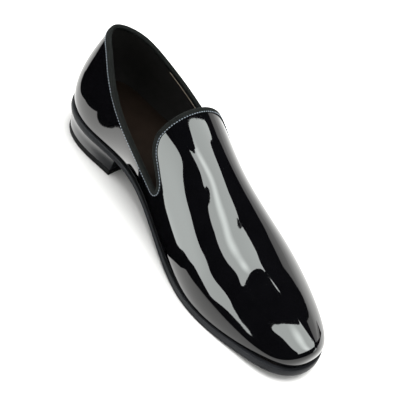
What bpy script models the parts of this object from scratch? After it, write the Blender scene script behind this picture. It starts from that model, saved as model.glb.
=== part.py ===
# Slip-on dress shoe, left foot, standing empty on its heel and forefoot.
# Sizes are in millimetres, with the heel's back at x = 0, the toe along +X, left along +Y and the floor at
# z = 0. The finished parts are moved so that the origin lies on the floor under the middle of the shoe.

import bpy
import bmesh
import numpy as np
from math import pi, radians

MM = 0.001
WELD = 1e-6

LENGTH = 300.0        # outsole, heel back to toe tip
MARGIN = 1.5          # outsole edge beyond the feather edge, where upper and sole meet
WALL = 2.0            # upper with its lining
GAP = 0.3             # clearance between neighbouring pieces
INSOLE = 3.0          # insole thickness
INSOLE_INSET = WALL + 0.5
EDGE_ROUND = 0.8      # rounding of the outsole's edges
SPINE_INSET = 26.0    # where the sole's middle line ends, short of heel and toe

TONGUE_TOP_X = 107.0  # back edge of the tongue
TONGUE_CORNER = 10.0  # radius of the tongue's two corners
NOTCH_X = 134.0       # front end of the side notch
NOTCH_HEIGHT = 46.0   # middle of the notch above the floor
NOTCH_RADIUS = 3.5    # half the notch's width at its rounded end
TONGUE_LEAN = 0.8     # rise of the tongue's side edge for each mm towards the heel
CHEEK_HEIGHT = 24.0   # toe height of the line that runs on from the notch round the toe
TOE_FALL = 0.27       # slope of the toe's flat top

BINDING = 0.7         # thickness of the topline binding
BINDING_WIDTH = 4.0   # depth of each of its two legs

BREAST_X = 76.0       # front face of the heel
BREAST_BOW = 3.0      # hollow of that face
LIFT = 5.0            # top lift, the heel's wearing layer
LIFT_ROUND = 0.6

# The last, one row for every 22.5 degrees round the foot from heel back to toe tip.
# lateral, medial: half-breadths at the feather edge. feather: its height. sole: outsole thickness.
# rise, swell_lat, swell_med: the wall's control ring above and outside the feather edge.
# ridge_x, ridge_y, ridge_z: the top line of the foot. crown: how broadly the wall rounds into it.
# cap: how far the flat top of the toe runs on ahead of that line.
LAST_COLUMNS = ("lateral", "medial", "feather", "sole", "rise", "swell_lat", "swell_med",
                "ridge_x", "ridge_y", "ridge_z", "crown", "cap")
LAST = (
    (0.0, 0.0, 27.5, 5.5, 29.5, 13.0, 13.0, 14.5, 0.0, 118.0, 0.0, 0.0),
    (23.5, -25.0, 27.5, 5.5, 29.5, 7.0, 11.5, 25.0, 0.0, 118.0, 4.0, 0.0),
    (32.0, -32.5, 26.0, 5.5, 29.5, 5.5, 8.0, 47.5, 0.0, 113.5, 21.5, 0.0),
    (38.5, -25.5, 23.5, 4.5, 28.5, 10.0, 16.0, 94.0, 0.5, 100.0, 37.0, 0.0),
    (44.0, -34.5, 11.0, 5.0, 26.0, 7.0, 13.5, 150.0, -2.0, 80.0, 28.5, 0.0),
    (50.0, -45.5, 6.0, 6.0, 20.0, 3.0, 7.0, 206.0, -4.0, 57.5, 34.0, 0.0),
    (40.5, -37.5, 8.0, 6.0, 17.0, 4.5, 3.5, 252.0, -2.0, 44.0, 17.5, 0.0),
    (21.0, -26.5, 12.0, 6.0, 13.0, 6.5, 5.5, 278.0, 0.0, 37.0, 6.5, 7.0),
    (-5.5, -5.5, 13.0, 6.0, 20.0, 6.0, 6.0, 291.0, 1.0, 33.5, 0.0, 7.0),
)

# Height of the collar's edge along the shoe, from the heel to the side notch.
COLLAR_COLUMNS = ("x", "height")
COLLAR = (
    (0.0, 89.5),
    (20.0, 88.5),
    (40.0, 81.0),
    (60.0, 70.5),
    (80.0, 60.5),
    (100.0, 52.5),
    (120.0, 46.0),
    (135.0, 42.5),
)

# Heel sections from the seat down: share of the height, inset from the outsole's edge and setback
# of the breast.
HEEL = (
    (0.0, 0.5, 0.0),
    (0.3, 2.0, 1.0),
    (0.65, 3.0, 2.0),
    (1.0, 4.0, 3.0),
)

# Fineness of the sections and of the strips between them.
HEEL_ROWS = 14        # upper, heel back to tongue
CORNER_ROWS = 5       # round a tongue corner
EDGE_ROWS = 4         # along a tongue edge
NOTCH_ROWS = 4        # round half a notch
VAMP_ROWS = 20        # notch to toe tip
STRIPS = 6            # feather edge to topline, and again to the ridge
OUTSOLE_ROWS = 72
INSOLE_ROWS = 60
HEEL_BACK_ROWS = 24
BREAST_ROWS = 8
BISECTIONS = 40

PATENT_BLACK = (0.004, 0.004, 0.005, 1.0)
BINDING_GREY = (0.020, 0.021, 0.023, 1.0)
INSOLE_BROWN = (0.012, 0.010, 0.009, 1.0)
SOLE_GREY = (0.016, 0.016, 0.018, 1.0)
LIFT_BLACK = (0.006, 0.006, 0.007, 1.0)


def column(table, names, name):
    return np.array([row[names.index(name)] for row in table])


def spline(knots, values, at):
    # Natural cubic through the given values.
    step = np.diff(knots)
    slope = np.diff(values) / step
    count = len(knots)
    system = np.eye(count)
    bend = np.zeros(count)
    for i in range(1, count - 1):
        system[i, i - 1:i + 2] = step[i - 1], 2 * (step[i - 1] + step[i]), step[i]
        bend[i] = 6 * (slope[i] - slope[i - 1])
    bend = np.linalg.solve(system, bend)
    k = np.clip(np.searchsorted(knots, at, side="right") - 1, 0, count - 2)
    d = at - knots[k]
    first = slope[k] - step[k] * (2 * bend[k] + bend[k + 1]) / 6
    return values[k] + d * first + d ** 2 * bend[k] / 2 + d ** 3 * (bend[k + 1] - bend[k]) / (6 * step[k])


def round_the_foot(lateral, medial, angle):
    # Closed curve through both sides' rows: lateral from heel to toe, then medial back to the heel.
    loop = np.concatenate([lateral, medial[-2:0:-1]])
    knots = np.arange(-len(loop), 2 * len(loop)) * 2 * pi / len(loop)
    return spline(knots, np.tile(loop, 3), np.mod(angle, 2 * pi))


def last_curve(name, angle, medial=None):
    lateral_rows = column(LAST, LAST_COLUMNS, name)
    medial_rows = column(LAST, LAST_COLUMNS, medial or name)
    return round_the_foot(lateral_rows, medial_rows, angle)


def half_turn(x):
    # The lateral angle at which the feather edge is this far along the shoe.
    return np.arccos(np.clip((LENGTH / 2 - x) / (LENGTH / 2 - MARGIN), -1, 1))


def feather(angle):
    x = LENGTH / 2 - (LENGTH / 2 - MARGIN) * np.cos(angle)
    return np.stack([x, last_curve("lateral", angle, "medial"), last_curve("feather", angle)], -1)


def plan_normal(angle):
    turn = 1e-4
    along = feather(angle + turn) - feather(angle - turn)
    normal = np.stack([-along[..., 1], along[..., 0], 0 * along[..., 0]], -1)
    return normal / np.linalg.norm(normal, axis=-1, keepdims=True)


def upper_surface(angle, rise):
    # Outer face of the upper, from the feather edge at rise 0 to the ridge at rise 1.
    angle, rise = np.broadcast_arrays(np.asarray(angle, float), np.asarray(rise, float))
    foot = feather(angle)
    up = np.array([0.0, 0.0, 1.0])
    swell = last_curve("swell_lat", angle, "swell_med")
    wall = foot + plan_normal(angle) * swell[..., None] + up * last_curve("rise", angle)[..., None]
    ridge = np.stack([last_curve(name, angle) for name in ("ridge_x", "ridge_y", "ridge_z")], -1)
    crown = column(LAST, LAST_COLUMNS, "crown")
    side = np.array([0.0, 1.0, 0.0])
    ahead = np.array([1.0, 0.0, -TOE_FALL])
    shoulder = ridge + side * round_the_foot(crown, -crown, angle)[..., None]
    shoulder = shoulder + ahead * last_curve("cap", angle)[..., None]
    t = rise[..., None]
    lower = (1 - t) ** 3 * foot + 3 * (1 - t) ** 2 * t * wall
    return lower + 3 * (1 - t) * t ** 2 * shoulder + t ** 3 * ridge


def rise_at_height(angle, height):
    low = np.zeros_like(angle)
    high = np.ones_like(angle)
    for _ in range(BISECTIONS):
        middle = (low + high) / 2
        below = upper_surface(angle, middle)[..., 2] < height
        low = np.where(below, middle, low)
        high = np.where(below, high, middle)
    return (low + high) / 2


def quarter_round(share):
    # 0 at the start of a rounded end, 1 once past it.
    return np.sqrt(1 - (1 - np.clip(share, 0, 1)) ** 2)


def collar_height(x):
    return spline(column(COLLAR, COLLAR_COLUMNS, "x"), column(COLLAR, COLLAR_COLUMNS, "height"), x)


def notch_edges(angle):
    # Rise of the collar edge and of the tongue's side edge, which meet at the end of the notch and run on
    # from there as one line round the toe.
    x = feather(angle)[..., 0]
    collar = collar_height(np.minimum(x, NOTCH_X))
    tongue = NOTCH_HEIGHT + NOTCH_RADIUS + TONGUE_LEAN * (NOTCH_X - x)
    middle = (collar + tongue) / 2
    half = (tongue - collar) / 2 * quarter_round((NOTCH_X - x) / NOTCH_RADIUS)
    corner = TONGUE_CORNER * (1 - quarter_round((x - TONGUE_TOP_X) / TONGUE_CORNER))
    ahead = np.clip((x - NOTCH_X) / (LENGTH - NOTCH_X), 0, 1)
    cheek = NOTCH_HEIGHT + (CHEEK_HEIGHT - NOTCH_HEIGHT) * np.sin(ahead * pi / 2)
    in_front = x >= NOTCH_X - WELD
    low = np.where(in_front, cheek, middle - half)
    high = np.where(in_front, cheek, middle + half + corner)
    return rise_at_height(angle, low), rise_at_height(angle, high)


def eased(start, end, count):
    # Values that crowd together towards the start.
    return start + (end - start) * (1 - np.cos(np.linspace(0, pi / 2, count, endpoint=False)))


def section_angles():
    # Lateral angles of the upper's sections, closest together at the tongue's corner and in the notch,
    # with the rows of the tongue's top and of the notch's end.
    top, corner_end = half_turn(TONGUE_TOP_X), half_turn(TONGUE_TOP_X + TONGUE_CORNER)
    notch_start, notch_end = half_turn(NOTCH_X - NOTCH_RADIUS), half_turn(NOTCH_X)
    heel = np.linspace(0, top, HEEL_ROWS, endpoint=False)
    corner = eased(top, corner_end, CORNER_ROWS)
    edge = np.linspace(corner_end, notch_start, EDGE_ROWS, endpoint=False)
    notch = eased(notch_end, notch_start, NOTCH_ROWS)[::-1]
    vamp = np.linspace(notch_end, pi, VAMP_ROWS + 1)[1:]
    angles = np.concatenate([heel, corner, edge, notch, vamp])
    return angles, HEEL_ROWS, len(angles) - VAMP_ROWS - 1


def new_object(name, bm, colour, roughness, coat=0.0):
    bmesh.ops.remove_doubles(bm, verts=bm.verts, dist=WELD)
    bmesh.ops.recalc_face_normals(bm, faces=bm.faces)
    mesh = bpy.data.meshes.new(name)
    bm.to_mesh(mesh)
    bm.free()
    mesh.shade_smooth()
    mesh.set_sharp_from_angle(angle=radians(40))
    material = bpy.data.materials.new(name)
    material.use_nodes = True
    shader = material.node_tree.nodes["Principled BSDF"]
    shader.inputs["Base Color"].default_value = colour
    shader.inputs["Roughness"].default_value = roughness
    shader.inputs["Coat Weight"].default_value = coat
    mesh.materials.append(material)
    part = bpy.data.objects.new(name, mesh)
    shoe.objects.link(part)
    return part


def lay_sheet(bm, points):
    # A flat grid laid over the given rows and columns of points.
    rows, columns = points.shape[0] - 1, points.shape[1] - 1
    grid = bmesh.ops.create_grid(bm, x_segments=rows, y_segments=columns, size=0.5)
    for vert in grid["verts"]:
        i = round((vert.co.x + 0.5) * rows)
        j = round((vert.co.y + 0.5) * columns)
        vert.co = points[i, j] * MM


def wrapped(name, points, colour, roughness):
    # A closed piece from one grid, welded where its edges meet.
    bm = bmesh.new()
    lay_sheet(bm, points)
    return new_object(name, bm, colour, roughness)


def make_upper():
    # A wall all round, from the feather edge up to the topline, and a vamp with its tongue over it.
    lateral, top_row, _ = section_angles()
    ring = np.concatenate([lateral, 2 * pi - lateral[-2::-1]])
    low, _ = notch_edges(ring)
    shares = np.linspace(0, 1, STRIPS + 1)
    bm = bmesh.new()
    lay_sheet(bm, upper_surface(ring[:, None], low[:, None] * shares))
    over = lateral[top_row:]
    halves = []
    for angle in (over, 2 * pi - over):
        _, high = notch_edges(angle)
        halves.append(upper_surface(angle[:, None], 1 - (1 - high[:, None]) * (1 - shares)))
    lay_sheet(bm, np.concatenate([halves[0], halves[1][:, -2::-1]], 1))
    upper = new_object("upper", bm, PATENT_BLACK, 0.08, 1.0)
    thick = upper.modifiers.new("Wall", "SOLIDIFY")
    thick.thickness = WALL * MM
    thick.offset = -1.0
    thick.use_even_offset = True


def topline():
    # Angle and rise of each point of the topline: lateral collar, tongue, then medial collar to the heel.
    lateral, top_row, notch_row = section_angles()
    sides = []
    for sign in (1, -1):
        collar = np.mod(sign * lateral[:notch_row + 1], 2 * pi)
        edge = np.mod(sign * lateral[top_row:notch_row][::-1], 2 * pi)
        low, _ = notch_edges(collar)
        _, high = notch_edges(edge)
        across = np.linspace(high[-1], 1, STRIPS + 1)[1:]
        angle = np.concatenate([collar, edge, np.full(STRIPS, edge[-1])])
        sides.append((angle, np.concatenate([low, high, across])))
    (lateral_angle, lateral_rise), (medial_angle, medial_rise) = sides
    angle = np.concatenate([lateral_angle, medial_angle[-2:0:-1]])
    return angle, np.concatenate([lateral_rise, medial_rise[-2:0:-1]])


def surface_slopes(angle, rise):
    # How the upper's face runs with angle and with rise, and its outward normal.
    small = 1e-4
    by_angle = (upper_surface(angle + small, rise) - upper_surface(angle - small, rise)) / (2 * small)
    by_rise = (upper_surface(angle, rise + small) - upper_surface(angle, rise - small)) / (2 * small)
    normal = np.cross(by_rise, by_angle)
    return by_angle, by_rise, normal / np.linalg.norm(normal, axis=-1, keepdims=True)


def dot(a, b):
    return (a * b).sum(-1)


def into_the_leather(angle, rise, inward, distance):
    # Point of the upper's face, and its normal, that far from the topline.
    by_angle, by_rise, _ = surface_slopes(angle, rise)
    aa, ab, bb = dot(by_angle, by_angle), dot(by_angle, by_rise), dot(by_rise, by_rise)
    along_angle, along_rise = dot(by_angle, inward) * distance, dot(by_rise, inward) * distance
    area = aa * bb - ab ** 2
    new_angle = angle + (along_angle * bb - along_rise * ab) / area
    new_rise = rise + (along_rise * aa - along_angle * ab) / area
    return upper_surface(new_angle, new_rise), surface_slopes(new_angle, new_rise)[2]


def make_binding():
    angle, rise = topline()
    edge = upper_surface(angle, rise)
    along = np.roll(edge, -1, 0) - np.roll(edge, 1, 0)
    along /= np.linalg.norm(along, axis=-1, keepdims=True)
    normal = surface_slopes(angle, rise)[2]
    inward = np.cross(normal, along)
    inward /= np.linalg.norm(inward, axis=-1, keepdims=True)
    leg, leg_normal = into_the_leather(angle, rise, inward, BINDING_WIDTH)
    near, far = GAP, GAP + BINDING
    # Channel section: depth into the leather, height over the outer face.
    section = (
        (BINDING_WIDTH, near), (BINDING_WIDTH, far), (0, far), (-far, 0), (-far, -WALL), (0, -WALL - far),
        (BINDING_WIDTH, -WALL - far), (BINDING_WIDTH, -WALL - near), (-near, -WALL - near), (-near, near),
    )
    lines = []
    for depth, height in section + section[:1]:
        if depth > 0:
            lines.append(leg + leg_normal * height)
        else:
            lines.append(edge + inward * depth + normal * height)
    rings = np.stack(lines, 1)
    wrapped("topline_binding", np.concatenate([rings, rings[:1]]), BINDING_GREY, 0.7)


def seat_height(x):
    # Height of the feather edge at a place along the shoe.
    return last_curve("feather", half_turn(x))


def sole_underside(x):
    return np.maximum(seat_height(x) - GAP - last_curve("sole", half_turn(x)), 0.0)


def outline(angle, offset):
    # Plan of the feather edge, moved outwards by the offset.
    return feather(angle)[..., :2] + plan_normal(angle)[..., :2] * offset


def spine(angle):
    # Plan of the sole's middle line.
    x = np.clip(feather(angle)[..., 0], SPINE_INSET, LENGTH - SPINE_INSET)
    there = half_turn(x)
    y = (feather(there)[..., 1] + feather(2 * pi - there)[..., 1]) / 2
    return np.stack([x, y], -1)


def at_height(plan, height):
    return np.concatenate([plan, np.broadcast_to(height, len(plan))[:, None]], 1)


def sole_rings(rows, profile):
    # Rings round the sole from a profile of share from spine to edge, the edge's offset, a height function
    # and the lift from that height.
    angle = np.linspace(0, 2 * pi, rows + 1)
    rings = []
    for share, offset, height, lift in profile:
        plan = spine(angle) * (1 - share) + outline(angle, offset) * share
        rings.append(at_height(plan, height(plan[:, 0]) + lift))
    return np.stack(rings, 1)


def make_outsole():
    inner = MARGIN - EDGE_ROUND
    top = [(share, inner, seat_height, -GAP) for share in (0, 0.35, 0.7, 1)]
    side = [(1, MARGIN, seat_height, -GAP - EDGE_ROUND), (1, MARGIN, sole_underside, EDGE_ROUND)]
    under = [(share, inner, sole_underside, 0) for share in (1, 0.7, 0.35, 0)]
    wrapped("outsole", sole_rings(OUTSOLE_ROWS, top + side + under), SOLE_GREY, 0.45)


def make_insole():
    top = [(share, -INSOLE_INSET, seat_height, INSOLE) for share in (0, 0.5, 1)]
    under = [(share, -INSOLE_INSET, seat_height, 0) for share in (1, 0.5, 0)]
    wrapped("insole", sole_rings(INSOLE_ROWS, top + under), INSOLE_BROWN, 0.5)


def heel_plan(inset, setback):
    # Heel outline seen from above: round the back from medial to lateral, then across the hollow breast.
    corner = half_turn(BREAST_X - setback)
    back = outline(np.linspace(-corner, corner, HEEL_BACK_ROWS + 1), MARGIN - inset)
    across = np.linspace(0, 1, BREAST_ROWS + 1)[1:]
    breast = back[-1] + (back[0] - back[-1]) * across[:, None]
    breast[:, 0] -= BREAST_BOW * 4 * across * (1 - across)
    return np.concatenate([back, breast])


def under_seat(plan):
    return at_height(plan, sole_underside(plan[:, 0]) - GAP)


def make_heel_block():
    rings = []
    for share, inset, setback in HEEL:
        ring = under_seat(heel_plan(inset, setback))
        ring[:, 2] += (LIFT + GAP - ring[:, 2]) * share
        rings.append(ring)
    middle = np.broadcast_to(rings[0][:, :2].mean(0), rings[0][:, :2].shape)
    halfway = (rings[0][:, :2] + middle) / 2
    base = np.broadcast_to(rings[-1].mean(0), rings[-1].shape)
    stack = [under_seat(middle), under_seat(halfway)] + rings + [base]
    wrapped("heel_block", np.stack(stack, 1), SOLE_GREY, 0.4)


def make_heel_top_lift():
    _, inset, setback = HEEL[-1]
    levels = ((inset, LIFT), (inset, LIFT_ROUND), (inset + LIFT_ROUND, 0.0))
    rings = [at_height(heel_plan(edge, setback), height) for edge, height in levels]
    ends = [np.broadcast_to(ring.mean(0), ring.shape) for ring in (rings[0], rings[-1])]
    wrapped("heel_top_lift", np.stack([ends[0]] + rings + [ends[1]], 1), LIFT_BLACK, 0.6)


def stand_on_origin(parts):
    # Middle of the shoe's box over the origin, its lowest point on the floor.
    bpy.context.view_layer.update()
    graph = bpy.context.evaluated_depsgraph_get()
    shapes = [part.evaluated_get(graph).data for part in parts]
    points = np.concatenate([[vert.co for vert in shape.vertices] for shape in shapes])
    low, high = points.min(0), points.max(0)
    for part in parts:
        part.location = (-(low[0] + high[0]) / 2, -(low[1] + high[1]) / 2, -low[2])


for old in list(bpy.data.objects):
    bpy.data.objects.remove(old, do_unlink=True)
shoe = bpy.data.collections.new("slip_on_shoe")
bpy.context.scene.collection.children.link(shoe)
make_upper()
make_binding()
make_insole()
make_outsole()
make_heel_block()
make_heel_top_lift()
stand_on_origin(list(shoe.objects))
bpy.context.view_layer.update()
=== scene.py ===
from math import cos, pi, radians, sin

import bmesh
import bpy
import numpy as np
from mathutils import Matrix, Vector


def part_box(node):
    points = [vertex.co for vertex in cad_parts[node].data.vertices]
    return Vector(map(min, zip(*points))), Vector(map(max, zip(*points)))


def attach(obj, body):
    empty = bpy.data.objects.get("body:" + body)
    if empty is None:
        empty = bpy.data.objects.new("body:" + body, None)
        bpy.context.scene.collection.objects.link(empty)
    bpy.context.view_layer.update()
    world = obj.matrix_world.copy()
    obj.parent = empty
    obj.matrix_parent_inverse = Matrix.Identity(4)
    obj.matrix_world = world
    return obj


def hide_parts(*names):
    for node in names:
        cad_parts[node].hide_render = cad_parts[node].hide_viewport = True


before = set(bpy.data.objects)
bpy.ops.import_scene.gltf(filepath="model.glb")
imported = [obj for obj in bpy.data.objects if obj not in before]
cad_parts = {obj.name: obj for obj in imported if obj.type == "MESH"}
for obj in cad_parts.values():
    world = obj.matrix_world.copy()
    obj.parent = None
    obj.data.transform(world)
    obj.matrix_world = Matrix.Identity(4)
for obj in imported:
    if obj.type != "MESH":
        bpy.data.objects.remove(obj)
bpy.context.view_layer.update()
print("frame loaded:", len(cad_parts), "nodes")

# The last, in millimetres: heel back at x = 0, toe along +X, left along +Y, floor at z = 0
last = {
    "length": 300.0,  # outsole
    "margin": 1.5,  # sole edge beyond the feather edge
    "gap": 0.3,  # upper to sole
    "toeFall": 0.27,  # slope of the toe's flat top
    "spine": 26.0,  # the sole's middle line ends that far from heel and toe
}
lastColumns = ("lateral", "medial", "feather", "sole", "rise", "swellLat", "swellMed",
               "ridgeX", "ridgeY", "ridgeZ", "crown", "cap")
lastRows = (  # one row for every 22.5 degrees round the foot, heel back to toe tip
    (0.0, 0.0, 27.5, 5.5, 29.5, 13.0, 13.0, 14.5, 0.0, 118.0, 0.0, 0.0),
    (23.5, -25.0, 27.5, 5.5, 29.5, 7.0, 11.5, 25.0, 0.0, 118.0, 4.0, 0.0),
    (32.0, -32.5, 26.0, 5.5, 29.5, 5.5, 8.0, 47.5, 0.0, 113.5, 21.5, 0.0),
    (38.5, -25.5, 23.5, 4.5, 28.5, 10.0, 16.0, 94.0, 0.5, 100.0, 37.0, 0.0),
    (44.0, -34.5, 11.0, 5.0, 26.0, 7.0, 13.5, 150.0, -2.0, 80.0, 28.5, 0.0),
    (50.0, -45.5, 6.0, 6.0, 20.0, 3.0, 7.0, 206.0, -4.0, 57.5, 34.0, 0.0),
    (40.5, -37.5, 8.0, 6.0, 17.0, 4.5, 3.5, 252.0, -2.0, 44.0, 17.5, 0.0),
    (21.0, -26.5, 12.0, 6.0, 13.0, 6.5, 5.5, 278.0, 0.0, 37.0, 6.5, 7.0),
    (-5.5, -5.5, 13.0, 6.0, 20.0, 6.0, 6.0, 291.0, 1.0, 33.5, 0.0, 7.0),
)
topline = {
    "tongueX": 107.0,  # back edge of the tongue
    "corner": 10.0,  # radius of its corners
    "notchX": 134.0,  # front end of the side notch
    "notchHeight": 46.0,
    "notchRadius": 3.5,
    "lean": 0.8,  # rise of the tongue's side edge towards the heel
    "cheek": 24.0,  # toe height of the line that runs on from the notch
}
collarColumns = ("x", "height")
collarRows = ((0.0, 89.5), (20.0, 88.5), (40.0, 81.0), (60.0, 70.5),
              (80.0, 60.5), (100.0, 52.5), (120.0, 46.0), (135.0, 42.5))
tiny = 1e-4  # step for slopes
mm = 0.001  # in metres


def column(rows, names, name):
    return np.array([row[names.index(name)] for row in rows])


def spline(knots, values, at):  # natural cubic through the values
    step = np.diff(knots)
    slope = np.diff(values) / step
    count = len(knots)
    system = np.eye(count)
    bend = np.zeros(count)
    for i in range(1, count - 1):
        system[i, i - 1:i + 2] = step[i - 1], 2 * (step[i - 1] + step[i]), step[i]
        bend[i] = 6 * (slope[i] - slope[i - 1])
    bend = np.linalg.solve(system, bend)
    k = np.clip(np.searchsorted(knots, at, side="right") - 1, 0, count - 2)
    d = at - knots[k]
    first = slope[k] - step[k] * (2 * bend[k] + bend[k + 1]) / 6
    return values[k] + d * first + d ** 2 * bend[k] / 2 + d ** 3 * (bend[k + 1] - bend[k]) / (6 * step[k])


def roundTheFoot(lateral, medial, angle):  # lateral rows heel to toe, medial rows back to the heel
    loop = np.concatenate([lateral, medial[-2:0:-1]])
    knots = np.arange(-len(loop), 2 * len(loop)) * 2 * pi / len(loop)
    return spline(knots, np.tile(loop, 3), np.mod(angle, 2 * pi))


def lastCurve(name, angle, medial=None, sign=1):
    lateralRows = column(lastRows, lastColumns, name)
    return roundTheFoot(lateralRows, sign * column(lastRows, lastColumns, medial or name), angle)


def halfTurn(x):  # lateral angle of the feather edge at x
    half = last["length"] / 2
    return np.arccos(np.clip((half - x) / (half - last["margin"]), -1, 1))


def feather(angle):
    half = last["length"] / 2
    x = half - (half - last["margin"]) * np.cos(angle)
    return np.stack([x, lastCurve("lateral", angle, "medial"), lastCurve("feather", angle)], -1)


def planNormal(angle):
    along = feather(angle + tiny) - feather(angle - tiny)
    normal = np.stack([-along[..., 1], along[..., 0], 0 * along[..., 0]], -1)
    return normal / np.linalg.norm(normal, axis=-1, keepdims=True)


def upperFace(angle, rise):  # outer face, feather edge at rise 0 and ridge at rise 1
    angle, rise = np.broadcast_arrays(np.asarray(angle, float), np.asarray(rise, float))
    foot = feather(angle)
    swell = lastCurve("swellLat", angle, "swellMed")[..., None]
    wall = foot + planNormal(angle) * swell + np.array([0, 0, 1.0]) * lastCurve("rise", angle)[..., None]
    ridge = np.stack([lastCurve(name, angle) for name in ("ridgeX", "ridgeY", "ridgeZ")], -1)
    shoulder = ridge + np.array([0, 1.0, 0]) * lastCurve("crown", angle, "crown", -1)[..., None]
    shoulder = shoulder + np.array([1.0, 0, -last["toeFall"]]) * lastCurve("cap", angle)[..., None]
    t = rise[..., None]
    lower = (1 - t) ** 3 * foot + 3 * (1 - t) ** 2 * t * wall
    return lower + 3 * (1 - t) * t ** 2 * shoulder + t ** 3 * ridge


def riseAtHeight(angle, height, halvings=40):
    low, high = np.zeros_like(angle), np.ones_like(angle)
    for _ in range(halvings):
        middle = (low + high) / 2
        below = upperFace(angle, middle)[..., 2] < height
        low, high = np.where(below, middle, low), np.where(below, high, middle)
    return (low + high) / 2


def quarterRound(share):  # 0 at the start of a rounded end, 1 once past it
    return np.sqrt(1 - (1 - np.clip(share, 0, 1)) ** 2)


def notchEdges(angle):  # rise of the collar edge and of the tongue's side edge
    x = feather(angle)[..., 0]
    knots = column(collarRows, collarColumns, "x")
    heights = column(collarRows, collarColumns, "height")
    collar = spline(knots, heights, np.minimum(x, topline["notchX"]))
    back = topline["notchX"] - x
    tongue = topline["notchHeight"] + topline["notchRadius"] + topline["lean"] * back
    half = (tongue - collar) / 2 * quarterRound(back / topline["notchRadius"])
    middle = (collar + tongue) / 2
    corner = topline["corner"] * (1 - quarterRound((x - topline["tongueX"]) / topline["corner"]))
    ahead = np.clip(-back / (last["length"] - topline["notchX"]), 0, 1)
    cheek = topline["notchHeight"] + (topline["cheek"] - topline["notchHeight"]) * np.sin(ahead * pi / 2)
    inFront = back <= 1e-6
    low = np.where(inFront, cheek, middle - half)
    high = np.where(inFront, cheek, middle + half + corner)
    return riseAtHeight(angle, low), riseAtHeight(angle, high)


def faceSlopes(angle, rise):  # how the face runs with angle and with rise, and its outward normal
    byAngle = (upperFace(angle + tiny, rise) - upperFace(angle - tiny, rise)) / (2 * tiny)
    byRise = (upperFace(angle, rise + tiny) - upperFace(angle, rise - tiny)) / (2 * tiny)
    normal = np.cross(byRise, byAngle)
    return byAngle, byRise, normal / np.linalg.norm(normal, axis=-1, keepdims=True)


def dot(a, b):
    return (a * b).sum(-1)


def intoLeather(angle, rise, inward, depth):  # point and normal of the face that far from the topline
    byAngle, byRise, _ = faceSlopes(angle, rise)
    aa, ab, bb = dot(byAngle, byAngle), dot(byAngle, byRise), dot(byRise, byRise)
    alongAngle, alongRise = dot(byAngle, inward) * depth, dot(byRise, inward) * depth
    area = aa * bb - ab ** 2
    newAngle = angle + (alongAngle * bb - alongRise * ab) / area
    newRise = rise + (alongRise * aa - alongAngle * ab) / area
    return upperFace(newAngle, newRise), faceSlopes(newAngle, newRise)[2]


def eased(start, end, count):  # values that crowd together towards the start
    return start + (end - start) * (1 - np.cos(np.linspace(0, pi / 2, count, endpoint=False)))


def outline(angle, offset):  # plan of the feather edge, moved outwards
    return feather(angle)[..., :2] + planNormal(angle)[..., :2] * offset


# The CAD outsole says where the last sits in the shared frame
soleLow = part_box("outsole")[0]
outlineLow = outline(np.linspace(0, 2 * pi, 721), last["margin"])[:, 1].min()
shift = np.array([soleLow.x / mm, soleLow.y / mm - outlineLow, 0.0])


def toFrame(points):  # millimetres on the last to metres in the frame
    return (np.asarray(points) + shift) * mm


def laySheet(bm, points, sizes=None):
    # A flat grid laid over rows and columns of points. Sizes are its lengths in mm for a UV map in metres.
    rows, columns = points.shape[0] - 1, points.shape[1] - 1
    grid = bmesh.ops.create_grid(bm, x_segments=rows, y_segments=columns, size=0.5)
    placed = toFrame(points)
    uvLayer = bm.loops.layers.uv.verify() if sizes else None
    for vert in grid["verts"]:
        u, v = vert.co.x + 0.5, vert.co.y + 0.5
        if sizes:
            for loop in vert.link_loops:
                loop[uvLayer].uv = (u * sizes[0] * mm, v * sizes[1] * mm)
        vert.co = placed[round(u * rows), round(v * columns)]


meshing = {
    "weld": 1e-6,  # points closer than this become one, m
    "speck": 1e-7,  # shorter edges are dissolved, m
    "crisp": 50.0,  # edges sharper than this stay crisp, degrees
}


def closeUp(bm):  # weld the sheets' edges and turn the faces outwards
    bmesh.ops.remove_doubles(bm, verts=bm.verts, dist=meshing["weld"])
    bmesh.ops.dissolve_degenerate(bm, edges=bm.edges, dist=meshing["speck"])
    bmesh.ops.recalc_face_normals(bm, faces=bm.faces)


def addPiece(name, bm, material, slot, *stoodFor):
    mesh = bpy.data.meshes.new(name)
    bm.to_mesh(mesh)
    bm.free()
    mesh.shade_smooth()
    mesh.set_sharp_from_angle(angle=radians(meshing["crisp"]))
    mesh.materials.append(material)
    piece = bpy.data.objects.new(name, mesh)
    bpy.context.scene.collection.objects.link(piece)
    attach(piece, "root")
    if stoodFor:
        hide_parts(*stoodFor)
    return piece


def thicken(piece, thickness):
    wall = piece.modifiers.new("Wall", "SOLIDIFY")
    wall.thickness = thickness * mm
    wall.offset = -1.0
    wall.use_even_offset = True


# Materials

def hexColour(code):  # sRGB hex to linear
    parts = [int(code[i:i + 2], 16) / 255 for i in (1, 3, 5)]
    return tuple(p / 12.92 if p <= 0.04045 else ((p + 0.055) / 1.055) ** 2.4 for p in parts) + (1.0,)


def addNode(tree, kind, settings, links):
    node = tree.nodes.new(kind)
    for key, value in settings.items():
        if isinstance(key, int) or key in node.inputs.keys():
            node.inputs[key].default_value = value
        else:
            setattr(node, key, value)
    for key, source in links.items():
        tree.links.new(source, node.inputs[key])
    return node


def newMaterial(name, **sockets):
    material = bpy.data.materials.new(name)
    material.use_nodes = True
    tree = material.node_tree
    shader = tree.nodes["Principled BSDF"]
    for key, value in sockets.items():
        shader.inputs[key.replace("_", " ")].default_value = value
    return material, tree, shader


def perMillimetre(size):  # texture scale for a pattern of that size
    return 1 / (size * mm)


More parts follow.
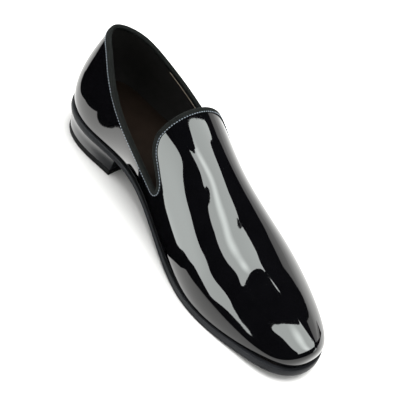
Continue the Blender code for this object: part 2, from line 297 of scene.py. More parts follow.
def patentLeather():
    # Patent leather: black leather under a poured clear lacquer. A deep black with mirror reflections
    # that waver a little where the lacquer follows the leather beneath.
    material, tree, shader = newMaterial("patent_leather", Roughness=0.3, Coat_Weight=1.0,
                                         Coat_Roughness=0.025, Coat_IOR=1.5, Specular_IOR_Level=0.0)
    where = addNode(tree, "ShaderNodeTexCoord", {}, {}).outputs["Object"]
    tone = addNode(tree, "ShaderNodeTexNoise", {"Scale": perMillimetre(14), "Detail": 3.0},
                   {"Vector": where})
    colour = addNode(tree, "ShaderNodeMix",
                     {"data_type": "RGBA", 6: hexColour("#040405"), 7: hexColour("#08080a")},
                     {0: tone.outputs["Fac"]})
    waver = addNode(tree, "ShaderNodeTexNoise", {"Scale": perMillimetre(26), "Detail": 1.0},
                    {"Vector": where})
    peel = addNode(tree, "ShaderNodeTexNoise", {"Scale": perMillimetre(1.6), "Detail": 1.0},
                   {"Vector": where})
    soft = addNode(tree, "ShaderNodeBump", {"Distance": 0.06 * mm, "Strength": 1.0},
                   {"Height": waver.outputs["Fac"]})
    fine = addNode(tree, "ShaderNodeBump", {"Distance": 0.0025 * mm, "Strength": 1.0},
                   {"Height": peel.outputs["Fac"], "Normal": soft.outputs["Normal"]})
    tree.links.new(colour.outputs[2], shader.inputs["Base Color"])
    tree.links.new(fine.outputs["Normal"], shader.inputs["Normal"])
    tree.links.new(fine.outputs["Normal"], shader.inputs["Coat Normal"])
    return material


def grosgrain():
    # Grosgrain ribbon: woven with a thick weft, so fine ribs run across it. Matte, dark grey, soft edges.
    # The ribs are drawn at 0.9 mm, about twice their real pitch, so that they show. At scale 1 a wave
    # texture repeats every 2 pi / 20.
    material, tree, shader = newMaterial("grosgrain_ribbon", Roughness=0.72, Specular_IOR_Level=0.08)
    where = addNode(tree, "ShaderNodeTexCoord", {}, {}).outputs["UV"]
    ribs = addNode(tree, "ShaderNodeTexWave", {"Scale": perMillimetre(0.9) / 20 * 2 * pi, "Distortion": 0.6,
                                               "Detail": 2.0, "bands_direction": "X"}, {"Vector": where})
    fuzz = addNode(tree, "ShaderNodeTexNoise", {"Scale": perMillimetre(0.5), "Detail": 4.0},
                   {"Vector": where})
    dusty = addNode(tree, "ShaderNodeTexNoise", {"Scale": perMillimetre(9), "Detail": 2.0},
                    {"Vector": where})
    shade = addNode(tree, "ShaderNodeMath", {"operation": "MULTIPLY_ADD", 1: 0.45},
                    {0: ribs.outputs["Fac"], 2: dusty.outputs["Fac"]})
    colour = addNode(tree, "ShaderNodeMix",
                     {"data_type": "RGBA", 6: hexColour("#090a0a"), 7: hexColour("#141615")},
                     {0: shade.outputs[0]})
    height = addNode(tree, "ShaderNodeMath", {"operation": "MULTIPLY_ADD", 1: 0.35},
                     {0: fuzz.outputs["Fac"], 2: ribs.outputs["Fac"]})
    bump = addNode(tree, "ShaderNodeBump", {"Distance": 0.12 * mm, "Strength": 0.8},
                   {"Height": height.outputs[0]})
    tree.links.new(colour.outputs[2], shader.inputs["Base Color"])
    tree.links.new(bump.outputs["Normal"], shader.inputs["Normal"])
    return material


def grainyMaterial(name, dark, light, grain, depth, mottle, **sockets):
    # Shared recipe of the plain soft and moulded surfaces: a fine grain and a slow change of tone.
    # Size of the grain, its depth and size of the mottling in mm.
    material, tree, shader = newMaterial(name, **sockets)
    where = addNode(tree, "ShaderNodeTexCoord", {}, {}).outputs["Object"]
    cells = addNode(tree, "ShaderNodeTexVoronoi", {"Scale": perMillimetre(grain), "feature": "SMOOTH_F1"},
                    {"Vector": where})
    slow = addNode(tree, "ShaderNodeTexNoise", {"Scale": perMillimetre(mottle), "Detail": 4.0},
                   {"Vector": where})
    colour = addNode(tree, "ShaderNodeMix", {"data_type": "RGBA", 6: hexColour(dark), 7: hexColour(light)},
                     {0: slow.outputs["Fac"]})
    height = addNode(tree, "ShaderNodeMath", {"operation": "MULTIPLY_ADD", 1: 0.6},
                     {0: slow.outputs["Fac"], 2: cells.outputs["Distance"]})
    bump = addNode(tree, "ShaderNodeBump", {"Distance": depth * mm, "Strength": 0.7},
                   {"Height": height.outputs[0]})
    tree.links.new(colour.outputs[2], shader.inputs["Base Color"])
    tree.links.new(bump.outputs["Normal"], shader.inputs["Normal"])
    return material


patent = patentLeather()
ribbon = grosgrain()
# Spun polyester thread: slightly glossy, so that single stitches catch the light. Its pale grey colour is
# painted highlight, standing in for the glints on dark stitches
thread = grainyMaterial("polyester_thread_painted_glints", "#626c75", "#858f98", 0.25, 0.05, 2.0,
                        Roughness=0.28, Specular_IOR_Level=0.5)
# Pigment-dyed lining leather: matte black with a fine pore grain
liningLeather = grainyMaterial("lining_leather", "#1d1d1c", "#272625", 0.8, 0.05, 7.0,
                               Roughness=0.62, Specular_IOR_Level=0.06)
# Cut edge of undyed lining leather: fibrous, pale
rawLeather = grainyMaterial("raw_leather_edge", "#b3a793", "#d2c8b6", 0.3, 0.06, 2.5,
                            Roughness=0.8, Specular_IOR_Level=0.1)
# Smooth sock leather: brown-black, a little sheen from handling
sockLeather = grainyMaterial("sock_leather", "#0f0b08", "#1b1511", 0.9, 0.05, 12.0,
                             Roughness=0.5, Specular_IOR_Level=0.05)
# Moulded rubber sole: even matte grey with a fine mould grit
soleRubber = grainyMaterial("moulded_rubber", "#17181a", "#212225", 0.35, 0.03, 10.0,
                            Roughness=0.48, Specular_IOR_Level=0.12)
# Edge-painted stacked heel: satin
heelPaint = grainyMaterial("edge_painted_leather", "#151618", "#1e1f22", 0.6, 0.02, 8.0,
                           Roughness=0.3, Specular_IOR_Level=0.3)
# Wearing rubber of the heel: blacker and rougher than the sole
liftRubber = grainyMaterial("wearing_rubber", "#0b0b0c", "#131314", 0.4, 0.05, 6.0,
                            Roughness=0.62, Specular_IOR_Level=0.06)
print("materials made")

# Upper: fine sheets over the last, with the patent's own dents, then a wall
upperLook = {
    "leather": 1.2,  # thickness
    "seamDepth": 0.3,  # back seam
    "seamWidth": 0.5,
    "seamReach": 20.0,  # it lies behind this x
    "seamTurn": 0.02,  # its finer rows end at this angle, radians
    "rows": {"seam": 5, "heel": 56, "corner": 16, "edge": 12, "notch": 14, "vamp": 96},  # heel to toe
    "sideStrips": 28,  # feather edge to cheek
    "topStrips": 54,  # cheek to ridge
}
dentColumns = ("x", "y", "z", "along", "across", "turn", "depth")
dents = (  # soft troughs (depth below 0) and ridges of the vamp, in mm, turned from the shoe's axis
    (284.0, -26.0, 44.0, 27.0, 65.0, 21.0, -1.9),  # the vamp sinks towards the flat toe
    (284.0, -29.0, 22.0, 16.0, 14.0, 0.0, -0.8),
    (225.0, -19.0, 46.0, 13.0, 18.0, -4.0, 0.95),  # and swells before it
    (129.0, -33.0, 77.0, 26.0, 11.5, -5.0, -1.1),  # pulled in beside the tongue's inner corner
    (137.0, -18.0, 86.0, 21.0, 7.0, 5.0, 0.85),
    (146.0, -30.0, 60.0, 9.0, 26.0, 35.0, 0.12),  # slant waves of the lacquered skin
    (160.0, -24.0, 66.0, 10.0, 24.0, 30.0, -0.14),
    (174.0, -26.0, 58.0, 9.0, 24.0, 40.0, 0.14),
    (187.0, -24.0, 57.0, 9.0, 24.0, 30.0, -0.12),
    (200.0, -26.0, 50.0, 10.0, 26.0, 38.0, 0.14),
    (214.0, -26.0, 48.0, 10.0, 24.0, 35.0, -0.12),
)


def sectionAngles(rows):
    x, corner = topline["tongueX"], topline["corner"]
    top, cornerEnd = halfTurn(x), halfTurn(x + corner)
    notchStart, notchEnd = halfTurn(topline["notchX"] - topline["notchRadius"]), halfTurn(topline["notchX"])
    seamEnd = upperLook["seamTurn"]
    parts = [
        eased(0, seamEnd, rows["seam"]),
        np.linspace(seamEnd, top, rows["heel"], endpoint=False),
        eased(top, cornerEnd, rows["corner"]),
        np.linspace(cornerEnd, notchStart, rows["edge"], endpoint=False),
        eased(notchEnd, notchStart, rows["notch"])[::-1],
        np.linspace(notchEnd, pi, rows["vamp"] + 1)[1:],
    ]
    topRow = len(parts[0]) + len(parts[1])
    angles = np.concatenate(parts)
    return angles, topRow, len(angles) - rows["vamp"] - 1


def upperSheets(bm):
    lateral, topRow, _ = sectionAngles(upperLook["rows"])
    ring = np.concatenate([lateral, 2 * pi - lateral[-2::-1]])
    low, _ = notchEdges(ring)
    sideShares = np.linspace(0, 1, upperLook["sideStrips"] + 1)
    laySheet(bm, upperFace(ring[:, None], low[:, None] * sideShares))
    over = lateral[topRow:]
    topShares = np.linspace(1, 0, upperLook["topStrips"] + 1)
    halves = []
    for angle in (over, 2 * pi - over):
        _, high = notchEdges(angle)
        halves.append(upperFace(angle[:, None], 1 - (1 - high[:, None]) * topShares))
    laySheet(bm, np.concatenate([halves[0], halves[1][:, -2::-1]], 1))
    closeUp(bm)


def pushOut(bm, amount):  # moves each vertex along its normal, by millimetres from its place on the last
    bm.normal_update()
    verts = list(bm.verts)
    points = np.array([vert.co for vert in verts]) / mm - shift
    for vert, move in zip(verts, amount(points)):
        vert.co += vert.normal * float(move) * mm


def dentHeight(points):
    total = np.zeros(len(points))
    for row in dents:
        d = dict(zip(dentColumns, row))
        dx, dy, dz = (points - [d["x"], d["y"], d["z"]]).T
        turn = radians(d["turn"])
        along = dx * cos(turn) + dy * sin(turn)
        upright = 1 - abs(cos(turn)) * 0.5  # height counts half where a dent runs along the shoe
        across = np.hypot(dy * cos(turn) - dx * sin(turn), dz * upright)
        total += d["depth"] * np.exp(-(along / d["along"]) ** 2 - (across / d["across"]) ** 2)
    return total


def leatherRelief(points):  # the dents, and the closed seam down the back of the heel
    behind = np.where(points[:, 0] < upperLook["seamReach"], 1.0, 0.0)
    seam = np.exp(-(points[:, 1] / upperLook["seamWidth"]) ** 2)
    return dentHeight(points) - upperLook["seamDepth"] * behind * seam


def makeSkin(relief, thickness, name, *finish):
    bm = bmesh.new()
    upperSheets(bm)
    pushOut(bm, relief)
    thicken(addPiece(name, bm, *finish), thickness)


makeSkin(leatherRelief, upperLook["leather"], "upper_leather", patent, "patent_leather", "upper")
print("upper made")

# Lining: a second, thinner skin inside the leather, with the raised seam between its two panels
liningLook = {
    "inside": 1.3,  # from the leather's face
    "thickness": 0.6,
    "seamX": 96.0,  # panel seam, at seamZ
    "seamZ": 40.0,
    "seamLean": -0.35,
    "seamWidth": 0.9,
    "seamHeight": 0.45,
}


def liningRelief(points):
    look = liningLook
    line = points[:, 0] - look["seamX"] - look["seamLean"] * (points[:, 2] - look["seamZ"])
    seam = np.exp(-(line / look["seamWidth"]) ** 2)
    return dentHeight(points) - look["inside"] - look["seamHeight"] * seam


makeSkin(liningRelief, liningLook["thickness"], "lining", liningLeather, "insole_leather")
print("lining made")

# Binding: a ribbon folded over the topline and sewn down along its outer edge
bindingLook = {
    "rows": 760,
    "fineRows": {"heel": 220, "edge": 40, "vamp": 1},  # topline points before they are evenly spaced
    "tongueRows": 60,
    "smoothing": 3,
    "outerLeg": 4.0,
    "innerLeg": 3.3,
    "thickness": 0.78,
    "fold": 0.9,  # how far the fold stands over the cut edge
    "bend": 0.3,  # where the fold begins, below that edge
    "core": 0.25,  # how far the fold's inside stands over it
    "clear": 0.02,  # ribbon to leather
    "wall": 1.95,  # leather and lining inside the fold
    "jointShare": 0.86,  # place of the overlap along the topline
    "jointLength": 9.0,
    "jointStep": 0.3,
}


def toplineRun(count):  # angle and rise of evenly spaced points: lateral collar, tongue, medial collar
    rows = {**upperLook["rows"], **bindingLook["fineRows"]}
    lateral, topRow, notchRow = sectionAngles(rows)
    collar = lateral[:notchRow + 1]
    edge = lateral[topRow:notchRow][::-1]
    halves = []
    for sign in (1, -1):
        low, _ = notchEdges(np.mod(sign * collar, 2 * pi))
        _, high = notchEdges(np.mod(sign * edge, 2 * pi))
        across = np.linspace(high[-1], 1, bindingLook["tongueRows"])[1:]
        angle = np.concatenate([collar, edge, np.full(len(across), edge[-1])])
        rise = np.concatenate([low, high, across])
        where = upperFace(sign * angle, rise)
        run = np.concatenate([[0], np.cumsum(np.linalg.norm(np.diff(where, axis=0), axis=1))])
        even = np.linspace(0, run[-1], count // 2 + 1)
        halves.append((sign * np.interp(even, run, angle), np.interp(even, run, rise), run[-1]))
    angle = np.concatenate([halves[0][0], halves[1][0][-2:0:-1]])
    rise = np.concatenate([halves[0][1], halves[1][1][-2:0:-1]])
    return angle, rise, halves[0][2] + halves[1][2]


edgeAngle, edgeRise, toplineLength = toplineRun(bindingLook["rows"])
edgeRise = np.minimum(edgeRise, 1 - 2 * tiny)  # just short of the ridge, where slopes can be taken
edgePoints = upperFace(edgeAngle, edgeRise)
edgeNormal = faceSlopes(edgeAngle, edgeRise)[2]
edgeAlong = np.roll(edgePoints, -1, 0) - np.roll(edgePoints, 1, 0)
edgeAlong /= np.linalg.norm(edgeAlong, axis=-1, keepdims=True)
edgeInward = np.cross(edgeNormal, edgeAlong)
edgeInward /= np.linalg.norm(edgeInward, axis=-1, keepdims=True)


def smoothRound(values, passes):  # evens out a row of points round the topline
    for _ in range(passes):
        values = (np.roll(values, 1, 0) + 2 * values + np.roll(values, -1, 0)) / 4
    return values


def legLine(depth):  # points and normals of the leather's face that far in from the topline
    points, normals = intoLeather(edgeAngle, edgeRise, edgeInward, depth)
    points = smoothRound(points, bindingLook["smoothing"])
    normals = smoothRound(normals, bindingLook["smoothing"])
    return points + normals * dentHeight(points)[:, None], normals


def bindingSection():  # depth into the leather, height over its face, and which way the outside faces
    look = bindingLook
    thick, leg, inner = look["thickness"], look["outerLeg"], look["innerLeg"]
    wall, bend, core, clear = look["wall"], look["bend"], look["core"], look["clear"]
    # Outer leg with a rounded edge, the fold, inner leg, and back along the leather
    rows = [(leg, clear, 0, 0), (leg + clear, 0.4 * thick, 0, 1), (leg - 0.15, 0.72 * thick, 0, 1),
            (leg - 0.6, 0.92 * thick, 0, 1), (leg * 0.6, thick, 0, 1), (leg * 0.3, thick, 0, 1)]
    reach, half = look["fold"] + bend, wall / 2 + thick
    for turn in np.radians(np.linspace(90, -90, 11)):
        rows.append((bend - reach * cos(turn), half * sin(turn) - wall / 2, -cos(turn), sin(turn)))
    rows += [(inner * 0.5, -wall - thick, 0, -1), (inner - 0.5, -wall - 0.94 * thick, 0, -1),
             (inner - 0.1, -wall - 0.7 * thick, 0, -1), (inner, -wall - 0.3 * thick, 0, -1),
             (inner - 0.05, -wall - 2 * clear, 0, 0), (0.0, -wall - 2 * clear, 0, 0),
             (-core, -wall * 0.8, 0, 0), (-core, -wall * 0.2, 0, 0), (0.0, clear, 0, 0)]
    return rows


def makeBinding():
    look = bindingLook
    share = np.arange(look["rows"]) / look["rows"]
    back = (look["jointShare"] - share) * toplineLength  # distance short of the overlap's end
    step = np.where((back > 0) & (back < look["jointLength"]), 1 - back / look["jointLength"], 0.0)
    step = (look["jointStep"] * np.sqrt(step))[:, None]
    lines = []
    section = bindingSection()
    for depth, height, outDepth, outHeight in section + section[:1]:
        if depth > 0:
            points, normals = legLine(depth)
        else:
            points = edgePoints + edgeInward * depth + edgeNormal * dentHeight(edgePoints)[:, None]
            normals = edgeNormal
        lines.append(points + normals * (height + step * outHeight) + edgeInward * step * outDepth)
    rings = np.stack(lines, 1)
    rings = np.concatenate([rings, rings[:1]])
    girth = np.linalg.norm(np.diff(rings[0], axis=0), axis=1).sum()
    bm = bmesh.new()
    laySheet(bm, rings, (toplineLength, girth))
    closeUp(bm)
    addPiece("topline_ribbon", bm, ribbon, "binding_fabric", "topline_binding")


makeBinding()
print("binding made")

# Stitches: one row of lockstitch just inside the ribbon's outer edge
stitchLook = {
    "depth": 3.45,  # in from the topline
    "pitch": 2.3,
    "length": 1.65,
    "width": 0.8,
    "lift": 0.78,  # over the leather
    "segments": 6,
    "rings": 5,
}


def makeStitches():
    look = stitchLook
    points, normals = legLine(look["depth"])
    points = points + normals * look["lift"]
    ring = np.concatenate([points, points[:1]])
    run = np.concatenate([[0], np.cumsum(np.linalg.norm(np.diff(ring, axis=0), axis=1))])
    count = int(run[-1] / look["pitch"])
    ahead = np.roll(points, -1, 0) - np.roll(points, 1, 0)
    bm = bmesh.new()
    for at in np.arange(count) * run[-1] / count:
        i = int(np.searchsorted(run, at, side="right") - 1) % len(points)
        spot = np.array([np.interp(at, run, ring[:, k]) for k in range(3)])
        x = Vector(ahead[i]).normalized()
        y = Vector(normals[i]).cross(x).normalized()
        turn = Matrix((x, y, x.cross(y))).transposed().to_4x4()
        size = Matrix.Diagonal((look["length"] / 2, look["width"] / 2, look["width"] / 2, 1 / mm)) * mm
        place = Matrix.Translation(toFrame(spot)) @ turn @ size
        bmesh.ops.create_uvsphere(bm, u_segments=look["segments"], v_segments=look["rings"], radius=1.0,
                                  matrix=place)
    addPiece("binding_stitches", bm, thread, "binding_fabric")


makeStitches()
print("stitches made")

# Raw edge of the lining: a pale line under the ribbon's inner leg, at the front of the outer collar
rawEdgeLook = {
    "from": 50.0,
    "to": 124.0,
    "depth": 3.35,  # in from the topline
    "width": 0.9,
    "lift": 0.5,  # over the lining
    "crown": 0.08,
    "tuck": 0.05,  # into the lining, and rounding of the corners
}


def makeRawEdge():
    look = rawEdgeLook
    x, y, _ = edgePoints.T
    shown = (x > look["from"]) & (x < look["to"]) & (y > 0)
    collar = shown & (np.arange(len(x)) < np.argmin(np.abs(x - topline["notchX"])))
    inside = -bindingLook["wall"]
    width, lift, tuck = look["width"], look["lift"], look["tuck"]
    section = ((0.0, tuck), (tuck, -lift), (width / 2, -lift - look["crown"]),
               (width - tuck, -lift), (width, tuck))
    lines = []
    for across, height in section + section[:1]:
        points, normals = legLine(look["depth"] + across)
        lines.append((points + normals * (inside + height))[collar])
    bm = bmesh.new()
    laySheet(bm, np.stack(lines, 1))
    closeUp(bm)
    bmesh.ops.holes_fill(bm, edges=bm.edges, sides=8)
    bmesh.ops.recalc_face_normals(bm, faces=bm.faces)
    addPiece("lining_raw_edge", bm, rawLeather, "insole_leather")


makeRawEdge()
print("lining edge made")

# Soles: rings of points from the middle line over the top, round the edge and back underneath

def seatHeight(x):
    return lastCurve("feather", halfTurn(x))


def soleUnderside(x):
    return np.maximum(seatHeight(x) - last["gap"] - lastCurve("sole", halfTurn(x)), 0.0)


def spine(angle):  # plan of the sole's middle line
    x = np.clip(feather(angle)[..., 0], last["spine"], last["length"] - last["spine"])
    there = halfTurn(x)
    return np.stack([x, (feather(there)[..., 1] + feather(2 * pi - there)[..., 1]) / 2], -1)


def atHeight(plan, height):
    return np.concatenate([plan, np.broadcast_to(height, len(plan))[:, None]], 1)


def soleRings(rows, profile):  # share from spine to edge, edge offset, height function, lift
    around = np.linspace(0, 2 * pi, rows + 1)
    rings = []
    for share, offset, height, lift in profile:
        plan = spine(around) * (1 - share) + outline(around, offset) * share
        rings.append(atHeight(plan, height(plan[:, 0]) + lift))
    return np.stack(rings, 1)


def addRings(name, rings, material, slot, node):
    bm = bmesh.new()
    laySheet(bm, rings)
    closeUp(bm)
    addPiece(name, bm, material, slot, node)


outsoleLook = {"rows": 240, "round": 0.8, "belly": 0.12}


def middleHeight(x):
    return (seatHeight(x) - last["gap"] + soleUnderside(x)) / 2


def makeOutsole():
    edge, gap, soft = last["margin"], last["gap"], outsoleLook["round"]
    shares = (0, 0.35, 0.7, 0.9)
    corner = ((1.0, 0.0), (0.55, 0.1), (0.2, 0.4), (0.0, 1.0))  # inset and drop of the rounded edges
    profile = [(share, edge - soft, seatHeight, -gap) for share in shares]
    profile += [(1, edge - soft * i, seatHeight, -gap - soft * d) for i, d in corner]
    profile += [(1, edge + outsoleLook["belly"], middleHeight, 0)]
    profile += [(1, edge - soft * i, soleUnderside, soft * d) for i, d in corner[::-1]]
    profile += [(share, edge - soft, soleUnderside, 0) for share in shares[::-1]]
    rings = soleRings(outsoleLook["rows"], profile)
    addRings("outsole_rubber", rings, soleRubber, "sole_rubber", "outsole")


insoleLook = {"rows": 200, "inset": 2.5, "thickness": 3.0, "hollow": 0.6, "round": 0.5}


def makeInsole():
    look = insoleLook
    edge, top, soft = -look["inset"], look["thickness"], look["round"]
    profile = [(share, edge, seatHeight, top - look["hollow"] * (1 - share ** 2))
               for share in np.linspace(0, 0.95, 12)]
    profile += [(1, edge - soft * 0.4, seatHeight, top - soft * 0.2), (1, edge, seatHeight, top - soft)]
    profile += [(share, edge, seatHeight, 0) for share in (1, 0.6, 0.3, 0)]
    addRings("sock", soleRings(look["rows"], profile), sockLeather, "insole_leather", "insole")


heelLook = {
    "backRows": 80,
    "breastRows": 24,
    "breastX": 76.0,
    "bow": 3.0,  # hollow of the breast
    "levels": 12,
    "lift": 5.0,  # wearing layer
    "bevel": 0.25,  # its upper edge
    "round": 0.6,  # its lower edge
}
heelColumns = ("share", "inset", "setback")  # heel sections from the seat down
heelRows = ((0.0, 0.5, 0.0), (0.3, 2.0, 1.0), (0.65, 3.0, 2.0), (1.0, 4.0, 3.0))


def heelPlan(inset, setback):  # round the back from medial to lateral, then across the hollow breast
    corner = halfTurn(heelLook["breastX"] - setback)
    back = outline(np.linspace(-corner, corner, heelLook["backRows"] + 1), last["margin"] - inset)
    across = np.linspace(0, 1, heelLook["breastRows"] + 1)[1:]
    breast = back[-1] + (back[0] - back[-1]) * across[:, None]
    breast[:, 0] -= heelLook["bow"] * 4 * across * (1 - across)
    return np.concatenate([back, breast])


def makeHeel():
    look = heelLook
    shares = column(heelRows, heelColumns, "share")
    levels = np.linspace(0, 1, look["levels"])
    base = look["lift"] + last["gap"]
    rings = []
    for level in levels:
        inset = spline(shares, column(heelRows, heelColumns, "inset"), np.array([level]))[0]
        setback = spline(shares, column(heelRows, heelColumns, "setback"), np.array([level]))[0]
        ring = atHeight(heelPlan(inset, setback), 0)
        top = soleUnderside(ring[:, 0]) - last["gap"]
        ring[:, 2] = top + (base - top) * level
        rings.append(ring)
    centre = rings[0][:, :2].mean(0)
    inner = []  # rings that close the seat
    for share in (0.0, 0.5, 0.95):
        plan = centre + (rings[0][:, :2] - centre) * share
        inner.append(atHeight(plan, soleUnderside(plan[:, 0]) - last["gap"]))
    floor = rings[-1].mean(0)
    under = [floor + (rings[-1] - floor) * share for share in (0.97, 0.5, 0.0)]
    addRings("heel_stack", np.stack(inner + rings + under, 1), heelPaint, "heel_leather", "heel_block")


def makeTopLift():
    _, inset, setback = heelRows[-1]
    top, bevel, soft = heelLook["lift"], heelLook["bevel"], heelLook["round"]
    levels = ((inset + bevel, top), (inset, top - bevel), (inset, soft), (inset + soft / 3, soft / 3),
              (inset + soft, 0.0))
    rings = [atHeight(heelPlan(edge, setback), height) for edge, height in levels]
    caps = []
    for ring in (rings[0], rings[-1]):
        middle = ring.mean(0)
        caps.append([middle + (ring - middle) * share for share in (0.0, 0.5, 0.96)])
    stack = caps[0] + rings + caps[1][::-1]
    addRings("heel_wearing_lift", np.stack(stack, 1), liftRubber, "lift_rubber", "heel_top_lift")


makeOutsole()
makeInsole()
makeHeel()
makeTopLift()
print("soles made")

# Camera: from the photograph's place, in degrees and millimetres, turned to the middle of the shoe
viewLook = {
    "aim": (148.5, -3.5, 40.0),
    "azimuth": -50.83,
    "elevation": 41.75,
    "roll": -22.09,
    "distance": 1923.5,
    "lens": 232.0,  # mm
    "clip": (0.05, 100.0),  # m
}


def makeCamera():
    look = viewLook
    az, el = radians(look["azimuth"]), radians(look["elevation"])
    back = Vector((cos(el) * cos(az), cos(el) * sin(az), sin(el)))
    roll = Matrix.Rotation(-radians(look["roll"]), 4, "Z")
    turn = back.to_track_quat("Z", "Y").to_matrix().to_4x4() @ roll
    data = bpy.data.cameras.new("camera")
    data.lens = look["lens"]
    data.clip_start, data.clip_end = look["clip"]
    camera = bpy.data.objects.new("camera", data)
    eye = Vector(look["aim"]) + back * look["distance"]
    camera.matrix_world = Matrix.Translation(toFrame(eye)) @ turn
    bpy.context.scene.collection.objects.link(camera)
    bpy.context.scene.camera = camera


makeCamera()
print("camera made")

# Studio: pale floor and room for the soft light, and cards that only the gloss sees
studioLook = {
    "floor": 8.0,  # half width, m
    "floorColour": "#f4f4f2",
    "room": 1.05,  # strength of the white room
    "keyPower": 85.0,  # soft light from above, W
    "keySize": 2.6,  # m
    "keyPlace": (0.1, 0.3, 2.2),  # m
    "cardReach": 700,  # top card above the floor, side card beside the shoe, mm
    "paperSlope": (0.218, 0.1765),  # the glowing sheet of the painted floor reflection rises a little towards the toe and the outer side
    "cornerCuts": 3,  # passes that round the corners of the top and side cards
}


def paperCorners(*plan):
    alongX, alongY = studioLook["paperSlope"]
    return tuple((x, y, alongX * (x - last["length"]) + alongY * y) for x, y in plan)


def curved(corners):  # cuts an outline's corners again and again, so that it runs in curves
    corners = np.array(corners, float)
    for _ in range(studioLook["cornerCuts"]):
        ahead = np.roll(corners, -1, 0)
        cut = [corners * 0.75 + ahead * 0.25, corners * 0.25 + ahead * 0.75]
        corners = np.stack(cut, 1).reshape(-1, 3)
    return corners


def topCorners(*plan):
    return curved([(x, y, studioLook["cardReach"]) for x, y in plan])


def sideCorners(*face):
    return curved([(x, -studioLook["cardReach"], z) for x, z in face])


# Corners and brightest spot in mm on the last, radius round that spot, colour, strengths there and beyond
cards = {
    "top_card": (
        topCorners((468, -410), (456, -300), (432, -225), (410, -140), (364, -5), (318, 180), (306, 262),
                   (296, 335), (299, 405), (250, 430), (196, 462), (168, 540), (150, 700), (105, 800),
                   (85, 760), (112, 560), (135, 330), (152, 110), (165, 10), (205, -45), (216, -150),
                   (205, -260), (168, -350), (185, -370), (270, -328), (370, -342), (440, -398)),
        (270, -30, 700), 140, "#f0f6f3", 18.0, 9.6),
    "side_card": (
        sideCorners((-480, -330), (-410, -330), (-335, -250), (-280, -178), (-225, -120), (-145, -65),
                    (-60, 20), (80, 20), (150, 0), (205, -30), (320, 85), (385, 160), (398, 300),
                    (388, 352), (330, 342), (190, 312), (65, 408), (-40, 347), (-135, 318), (-480, 330)),
        (-100, -700, 150), 400, "#f0f6f3", 10.5, 9.2),
    # Painted reflection of the lit floor: a glowing sheet that only the gloss sees, brightest round a spot
    # under the heel's inner side and dimmer further out. The gap cut into its outline beside the inner
    # waist is painted shade
    "painted_floor_reflection": (
        paperCorners((-900, -140), (-480, -105), (-390, -75), (-290, -85), (-225, -130), (-190, -205),
                     (-100, -222), (10, -95), (38, -35), (46, 30), (122, 30), (118, -60), (88, -160),
                     (10, -330), (17, -796), (150, -1043), (2000, -1043), (2000, 3000), (330, 3000),
                     (330, 700), (290, 300), (268, 105), (240, 200), (195, 600), (105, 1300),
                     (-40, 2900), (-900, 3000)),
        (0, -100, -80), 900, "#f4f4f2", 2.5, 1.6),
    "wall_card": (
        ((-2000, 3000, -100), (-200, 3000, -100), (-130, 3000, 1200), (-2000, 3000, 1500)),
        (300, 3000, 300), 2000, "#f4f4f2", 1.3, 1.0),
    "back_card": (
        ((-900, -420, 120), (-900, 420, 120), (-650, 420, 1150), (-650, -420, 1150)),
        (-800, 0, 700), 700, "#f0f6f3", 6.0, 3.5),
    "outer_card": (
        ((-1100, 1000, 260), (-200, 1000, 180), (-200, 1000, 640), (-1100, 1000, 1100)),
        (-500, 1000, 500), 700, "#f0f6f3", 6.0, 3.5),
    "toe_side_card": (
        ((640, 940, 240), (1300, 480, 240), (1300, 480, 620), (640, 940, 820)),
        (900, 750, 500), 600, "#f0f6f3", 6.0, 3.5),
    # Painted shade: a black sheet that only the gloss sees, just under the floor beneath the shoe, so that
    # the floor's reflection goes dark where the shoe shades it
    "shade_card": (
        ((70, -32, -3), (130, -44, -3), (215, -50, -3), (290, -34, -3), (300, 5, -3), (230, 48, -3),
         (70, 38, -3)),
        (150, 0, -3), 200, "#000000", 0.0, 0.0),
}


def stageMesh(name, bm, material):
    mesh = bpy.data.meshes.new(name)
    bm.to_mesh(mesh)
    bm.free()
    mesh.materials.append(material)
    thing = bpy.data.objects.new(name, mesh)
    bpy.context.scene.collection.objects.link(thing)
    return thing


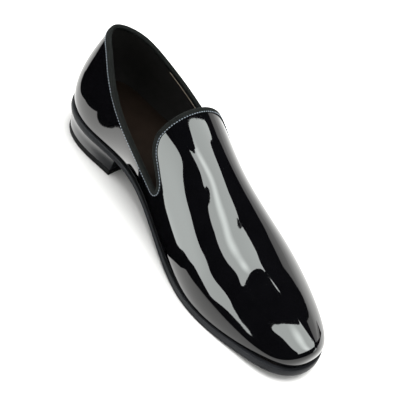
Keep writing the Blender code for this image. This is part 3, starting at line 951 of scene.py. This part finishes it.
def makeFloor():
    look = studioLook
    material, _, _ = newMaterial("pale_paper", Roughness=0.9, Specular_IOR_Level=0.0,
                                 Base_Color=hexColour(look["floorColour"]))
    bm = bmesh.new()
    bmesh.ops.create_grid(bm, x_segments=1, y_segments=1, size=look["floor"])
    floor = stageMesh("floor", bm, material)
    floor.visible_glossy = False


def makeCard(name, corners, spot, radius, colour, bright, dim):
    material = bpy.data.materials.new(name)
    material.use_nodes = True
    tree = material.node_tree
    where = addNode(tree, "ShaderNodeTexCoord", {}, {}).outputs["Object"]  # glow fades away from the spot
    away = addNode(tree, "ShaderNodeVectorMath", {"operation": "DISTANCE", 1: toFrame(spot)}, {0: where})
    fade = addNode(tree, "ShaderNodeMapRange", {"interpolation_type": "SMOOTHSTEP", "From Max": radius * mm,
                                                "To Min": bright, "To Max": dim},
                   {"Value": away.outputs["Value"]})
    glow = addNode(tree, "ShaderNodeEmission", {"Color": hexColour(colour)}, {"Strength": fade.outputs[0]})
    tree.links.new(glow.outputs[0], tree.nodes["Material Output"].inputs["Surface"])
    material.cycles.emission_sampling = "NONE"
    bm = bmesh.new()
    disc = bmesh.ops.create_circle(bm, cap_ends=True, segments=len(corners), radius=1.0)
    for vert, corner in zip(disc["verts"], corners):
        vert.co = toFrame(corner)
    card = stageMesh(name, bm, material)
    card.visible_camera = card.visible_diffuse = card.visible_shadow = False
    card.visible_transmission = card.visible_volume_scatter = False


def makeLight():
    look = studioLook
    data = bpy.data.lights.new("key", "AREA")
    data.energy = look["keyPower"]
    data.size = look["keySize"]
    key = bpy.data.objects.new("key", data)
    key.visible_glossy = False
    aim = Vector(look["keyPlace"]).to_track_quat("Z", "Y").to_matrix().to_4x4()
    key.matrix_world = Matrix.Translation(look["keyPlace"]) @ aim
    bpy.context.scene.collection.objects.link(key)
    world = bpy.data.worlds.new("room")
    world.use_nodes = True
    background = world.node_tree.nodes["Background"]
    background.inputs["Color"].default_value = (1, 1, 1, 1)
    background.inputs["Strength"].default_value = look["room"]
    world.cycles_visibility.glossy = False
    bpy.context.scene.world = world
    bpy.context.scene.view_settings.view_transform = "Standard"


makeFloor()
for name, settings in cards.items():
    makeCard(name, *settings)
makeLight()
print("studio made")
